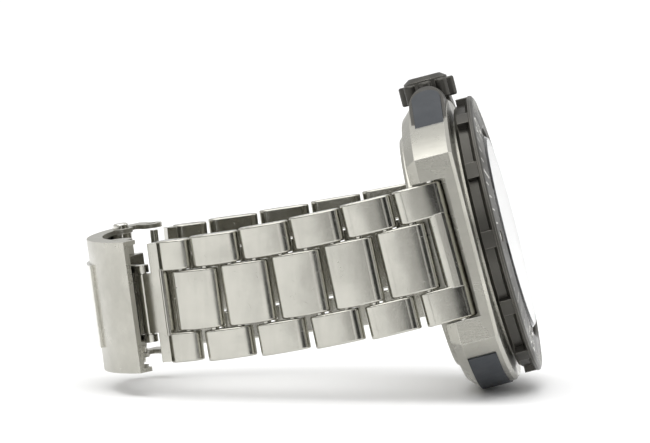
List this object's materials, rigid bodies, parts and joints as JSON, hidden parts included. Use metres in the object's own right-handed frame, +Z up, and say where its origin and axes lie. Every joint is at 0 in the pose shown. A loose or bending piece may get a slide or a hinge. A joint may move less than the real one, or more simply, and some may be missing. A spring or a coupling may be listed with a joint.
{
  "type": "diver's wristwatch on a steel bracelet",
  "caption": "Diver's wristwatch with a turning bezel, guarded crown and a closed three-row steel bracelet with a fold-over clasp.",
  "frame": {"origin": "centre of the bounding box's base, on the floor the watch stands on", "axes": "+X out of the dial, +Y from 12 o'clock to 6 o'clock, +Z up, towards the crown at 3 o'clock"},
  "size_m": [0.0662, 0.0466, 0.0459],
  "materials": {
    "steel": "satin stainless steel, brushed along the pins",
    "polished_steel": "polished stainless steel",
    "dark_steel": "dark grey coated steel, satin",
    "rubber": "matt slate rubber",
    "gasket": "black seal",
    "glass": "flat mineral crystal",
    "dial": "pale satin dial",
    "marker": "white paint",
    "plastic": "grey plastic",
    "brass": "plated movement"
  },
  "bodies": {
    "case": {"mid_case": "steel", "case_back": "steel", "case_back_screws": "polished_steel", "case_back_gasket": "gasket", "crown_guard": "dark_steel", "guard_inlays": "rubber", "flank_inlay": "rubber", "crown_tube": "polished_steel", "movement": "brass", "battery": "polished_steel", "movement_ring": "plastic", "dial": "dial", "dial_markers": "marker", "chapter_ring": "plastic", "crystal": "glass", "crystal_gasket": "gasket", "bezel_spring": "polished_steel", "lug_spring_bars": "polished_steel"},
    "bezel": {"bezel_ring": "dark_steel", "bezel_grips": "dark_steel", "bezel_pip": "marker"},
    "crown_slide": {"stem_collar": "polished_steel"},
    "crown": {"crown_cap": "dark_steel", "crown_stem": "polished_steel"},
    "hour_hand": {"hour_hand": "marker"},
    "minute_hand": {"minute_hand": "marker"},
    "seconds_hand": {"seconds_hand": "marker"},
    "end_link_12": {"end_link_12": "steel"},
    "link_12_1": {"link_12_1_centre": "steel", "link_12_1_outer": "steel"},
    "link_12_2": {"link_12_2_centre": "steel", "link_12_2_outer": "steel"},
    "link_12_3": {"link_12_3_centre": "steel", "link_12_3_outer": "steel"},
    "link_12_4": {"link_12_4_centre": "steel", "link_12_4_outer": "steel"},
    "link_12_5": {"link_12_5_centre": "steel", "link_12_5_outer": "steel"},
    "end_link_6": {"end_link_6": "steel"},
    "link_6_1": {"link_6_1_centre": "steel", "link_6_1_outer": "steel"},
    "link_6_2": {"link_6_2_centre": "steel", "link_6_2_outer": "steel"},
    "link_6_3": {"link_6_3_centre": "steel", "link_6_3_outer": "steel"},
    "link_6_4": {"link_6_4_centre": "steel", "link_6_4_outer": "steel"},
    "link_6_5": {"link_6_5_centre": "steel", "link_6_5_outer": "steel", "clasp_bar_6": "polished_steel"},
    "bottom_blade": {"bottom_blade": "steel", "clasp_bar_12": "polished_steel", "fold_hinge_pin": "polished_steel"},
    "middle_blade": {"middle_blade": "steel"},
    "clasp_cover": {"clasp_cover": "steel", "cover_plate": "polished_steel", "cover_hinge_pin": "polished_steel"},
    "button_upper": {"push_button_upper": "steel"},
    "button_lower": {"push_button_lower": "steel"}
  },
  "joints": [
    {"name": "bezel_turn", "type": "hinge", "parent": "case", "child": "bezel", "pos_m": [0.02659, 0, 0.02241], "axis": [0.9673, 0, 0.2538], "continuous": true},
    {"name": "crown_pull", "type": "slide", "parent": "case", "child": "crown_slide", "axis": [-0.2533, 0.061, 0.9655], "range_m": [0, 0.0018]},
    {"name": "crown_turn", "type": "hinge", "parent": "crown_slide", "child": "crown", "pos_m": [0.01677, 0.00129, 0.04171], "axis": [-0.2533, 0.061, 0.9655], "continuous": true},
    {"name": "minute_turn", "type": "hinge", "parent": "case", "child": "minute_hand", "pos_m": [0.02455, 0, 0.02188], "axis": [0.9673, 0, 0.2538], "continuous": true},
    {"name": "hour_turn", "type": "hinge", "parent": "case", "child": "hour_hand", "pos_m": [0.02397, 0, 0.02173], "axis": [0.9673, 0, 0.2538], "continuous": true},
    {"name": "seconds_turn", "type": "hinge", "parent": "case", "child": "seconds_hand", "pos_m": [0.02513, 0, 0.02203], "axis": [0.9673, 0, 0.2538], "continuous": true},
    {"name": "lug_fold_12", "type": "hinge", "parent": "case", "child": "end_link_12", "pos_m": [0.02037, -0.02026, 0.02207], "axis": [-0.2655, 0.0565, 0.9624], "range_deg": [0, 10]},
    {"name": "link_fold_12_1", "type": "hinge", "parent": "end_link_12", "child": "link_12_1", "pos_m": [0.01654, -0.02055, 0.02102], "axis": [-0.2404, 0.0511, 0.9693], "range_deg": [0, 10]},
    {"name": "link_fold_12_2", "type": "hinge", "parent": "link_12_1", "child": "link_12_2", "pos_m": [0.00882, -0.02038, 0.0191], "axis": [-0.2126, 0.043, 0.9762], "range_deg": [0, 10]},
    {"name": "link_fold_12_3", "type": "hinge", "parent": "link_12_2", "child": "link_12_3", "pos_m": [0.0011, -0.01947, 0.01738], "axis": [-0.1869, 0.0346, 0.9818], "range_deg": [0, 10]},
    {"name": "link_fold_12_4", "type": "hinge", "parent": "link_12_3", "child": "link_12_4", "pos_m": [-0.00654, -0.01784, 0.01587], "axis": [-0.162, 0.0255, 0.9865], "range_deg": [0, 10]},
    {"name": "link_fold_12_5", "type": "hinge", "parent": "link_12_4", "child": "link_12_5", "pos_m": [-0.01404, -0.01549, 0.01458], "axis": [-0.1338, 0.0137, 0.9909], "range_deg": [0, 10]},
    {"name": "lug_fold_6", "type": "hinge", "parent": "case", "child": "end_link_6", "pos_m": [0.021, 0.02026, 0.01967], "axis": [0.2132, -0.0565, -0.9754], "range_deg": [0, 10]},
    {"name": "link_fold_6_1", "type": "hinge", "parent": "end_link_6", "child": "link_6_1", "pos_m": [0.01712, 0.02055, 0.0188], "axis": [0.1875, -0.0511, -0.9809], "range_deg": [0, 10]},
    {"name": "link_fold_6_2", "type": "hinge", "parent": "link_6_1", "child": "link_6_2", "pos_m": [0.00931, 0.02038, 0.01732], "axis": [0.1612, -0.043, -0.986], "range_deg": [0, 10]},
    {"name": "link_fold_6_3", "type": "hinge", "parent": "link_6_2", "child": "link_6_3", "pos_m": [0.0015, 0.01947, 0.01608], "axis": [0.1393, -0.0346, -0.9896], "range_deg": [0, 10]},
    {"name": "link_fold_6_4", "type": "hinge", "parent": "link_6_3", "child": "link_6_4", "pos_m": [-0.00623, 0.01784, 0.01505], "axis": [0.1203, -0.0255, -0.9924], "range_deg": [0, 10]},
    {"name": "link_fold_6_5", "type": "hinge", "parent": "link_6_4", "child": "link_6_5", "pos_m": [-0.01378, 0.01549, 0.0142], "axis": [0.101, -0.0137, -0.9948], "range_deg": [0, 10]},
    {"name": "clasp_fold", "type": "hinge", "parent": "link_12_5", "child": "bottom_blade", "pos_m": [-0.02354, -0.01152, 0.01324], "axis": [-0.1339, -0.0006, 0.991], "range_deg": [0, 10]},
    {"name": "clasp_unfold", "type": "hinge", "parent": "bottom_blade", "child": "middle_blade", "pos_m": [-0.02597, 0.0092, 0.01292], "axis": [0.1339, 0.0006, -0.991], "range_deg": [0, 150]},
    {"name": "cover_unfold", "type": "hinge", "parent": "middle_blade", "child": "clasp_cover", "pos_m": [-0.02661, -0.01059, 0.01282], "axis": [-0.1339, -0.0006, 0.991], "range_deg": [0, 150]},
    {"name": "button_upper_press", "type": "slide", "parent": "clasp_cover", "child": "button_upper", "axis": [0.1339, 0.0006, -0.991], "range_m": [0, 0.0007], "stiffness_N_per_m": 250},
    {"name": "button_lower_press", "type": "slide", "parent": "clasp_cover", "child": "button_lower", "axis": [-0.1339, -0.0006, 0.991], "range_m": [0, 0.0007], "stiffness_N_per_m": 250}
  ],
  "couplings": [
    {"joint": "hour_turn", "follows": "minute_turn", "ratio": 0.083333},
    {"joint": "cover_unfold", "follows": "clasp_unfold", "ratio": 1}
  ]
}
